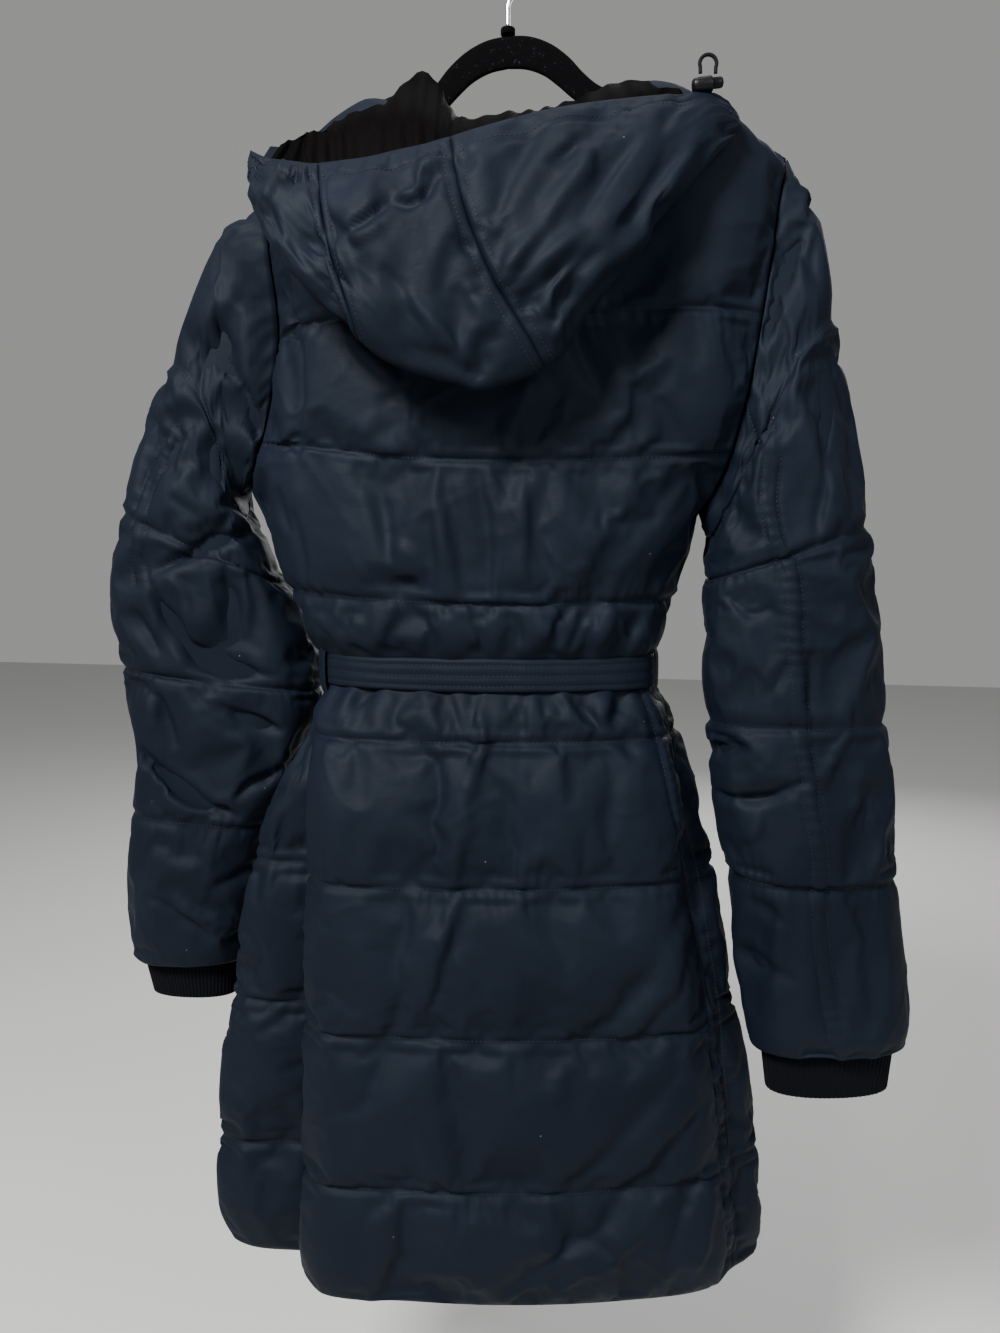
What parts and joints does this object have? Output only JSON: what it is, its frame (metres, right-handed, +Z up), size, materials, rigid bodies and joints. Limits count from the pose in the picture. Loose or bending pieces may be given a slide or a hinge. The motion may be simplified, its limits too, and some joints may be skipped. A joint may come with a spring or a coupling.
{
  "type": "long puffer coat on a clothes hanger",
  "caption": "Long quilted puffer coat with hood, rib cuffs and tied belt, hanging from a slim velvet hanger with a wire hook.",
  "frame": {"origin": "where a rail bears on the inside of the hook's round top", "axes": "+Z up, X along the hanger, the coat's back faces -Y"},
  "size_m": [0.6479, 0.2365, 1.0268],
  "materials": {
    "shell": "blue-black woven nylon with a soft satin sheen",
    "lining": "brown-black satin",
    "rib": "black rib knit, matt",
    "velvet": "black flocked velvet",
    "chrome": "polished",
    "plastic": "black, satin"
  },
  "bodies": {
    "root": {"back": "shell", "front_left": "shell", "front_right": "shell", "front_placket": "shell", "sleeve_left": "shell", "sleeve_right": "shell", "cuff_left": "rib", "cuff_right": "rib", "hood_left": "shell", "hood_centre": "shell", "hood_right": "shell", "hood_lining": "lining", "hood_elastic": "plastic", "cord_lock": "plastic", "belt": "shell", "belt_knot": "shell", "belt_end_left": "shell", "belt_end_right": "shell", "belt_loop_left": "shell", "belt_loop_right": "shell", "hanger": "velvet", "hanger_nub": "velvet", "hook": "chrome"}
  },
  "joints": []
}
